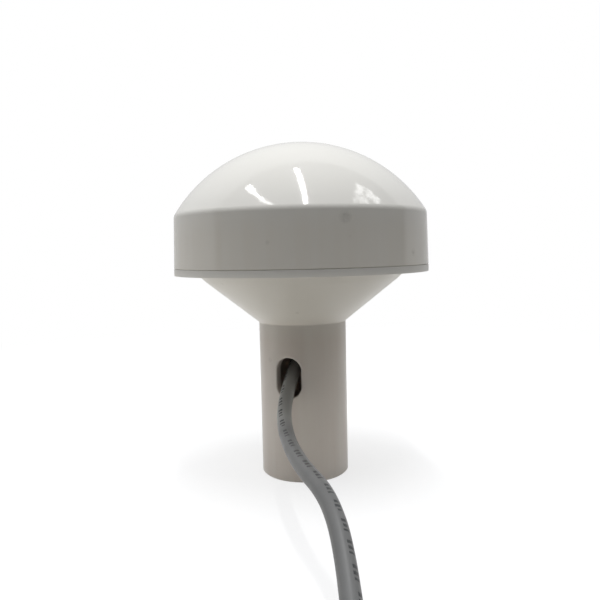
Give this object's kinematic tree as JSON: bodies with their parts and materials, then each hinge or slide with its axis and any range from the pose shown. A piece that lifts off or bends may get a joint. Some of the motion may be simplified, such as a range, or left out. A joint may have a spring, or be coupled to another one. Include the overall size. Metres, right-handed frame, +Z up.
{
  "type": "satellite positioning receiver",
  "caption": "Mushroom-shaped receiver: white dome on a funnel base with a hollow threaded stem, side cable slot, board and patch antenna inside, grey data cable ending in a round plug",
  "frame": {"origin": "middle of the stem's foot, on the table", "axes": "+Z up along the stem and dome; -Y out of the stem's side slot; +X to the right seen from the slot"},
  "size_m": [0.1275, 0.2927, 0.1256],
  "materials": {
    "housing": "satin off-white moulded plastic",
    "dome": "glossy white moulded plastic",
    "jacket": "grey cable jacket",
    "seal": "black rubber",
    "steel": "stainless screws",
    "board": "green circuit board",
    "tin": "tinned sheet",
    "ceramic": "fired ceramic",
    "silver": "fired silver",
    "chip": "black epoxy",
    "gold": "gold-plated contacts",
    "connector": "natural nylon",
    "wires": "coloured wires",
    "nylon": "natural nylon",
    "plug_black": "black moulded plug",
    "nut": "nickel-plated brass",
    "cell": "steel cell case"
  },
  "bodies": {
    "receiver": {"radome": "dome", "base_housing": "housing", "rim_seal": "seal", "housing_screws": "steel", "screw_washers": "seal", "main_board": "board", "board_screws": "steel", "patch_pad": "seal", "ceramic_patch": "ceramic", "patch_electrode": "silver", "feed_pin": "gold", "module_board": "board", "module_can": "tin", "shield_frame": "tin", "shield_can": "tin", "amplifier_chips": "chip", "backup_cell": "cell", "cell_strap": "tin", "line_driver": "chip", "power_inductor": "chip", "capacitors": "cell", "contacts": "gold", "board_header": "connector", "wire_plug": "connector", "signal_wires": "wires", "cable_grommet": "seal", "cable_end": "jacket", "inner_tie": "nylon", "cable_tube": "jacket", "cable_tail": "jacket", "cable_coil": "jacket", "coil_ties": "plug_black", "plug_grip": "plug_black", "plug_insert": "plug_black", "plug_pins": "gold", "plug_seal": "seal"},
    "nut": {"coupling_nut": "nut"}
  },
  "joints": [
    {"name": "nut_turn", "type": "hinge", "parent": "receiver", "child": "nut", "pos_m": [0.05017, -0.22007, 0.0287], "axis": [-0.3223, -0.9466, 0], "continuous": true}
  ]
}
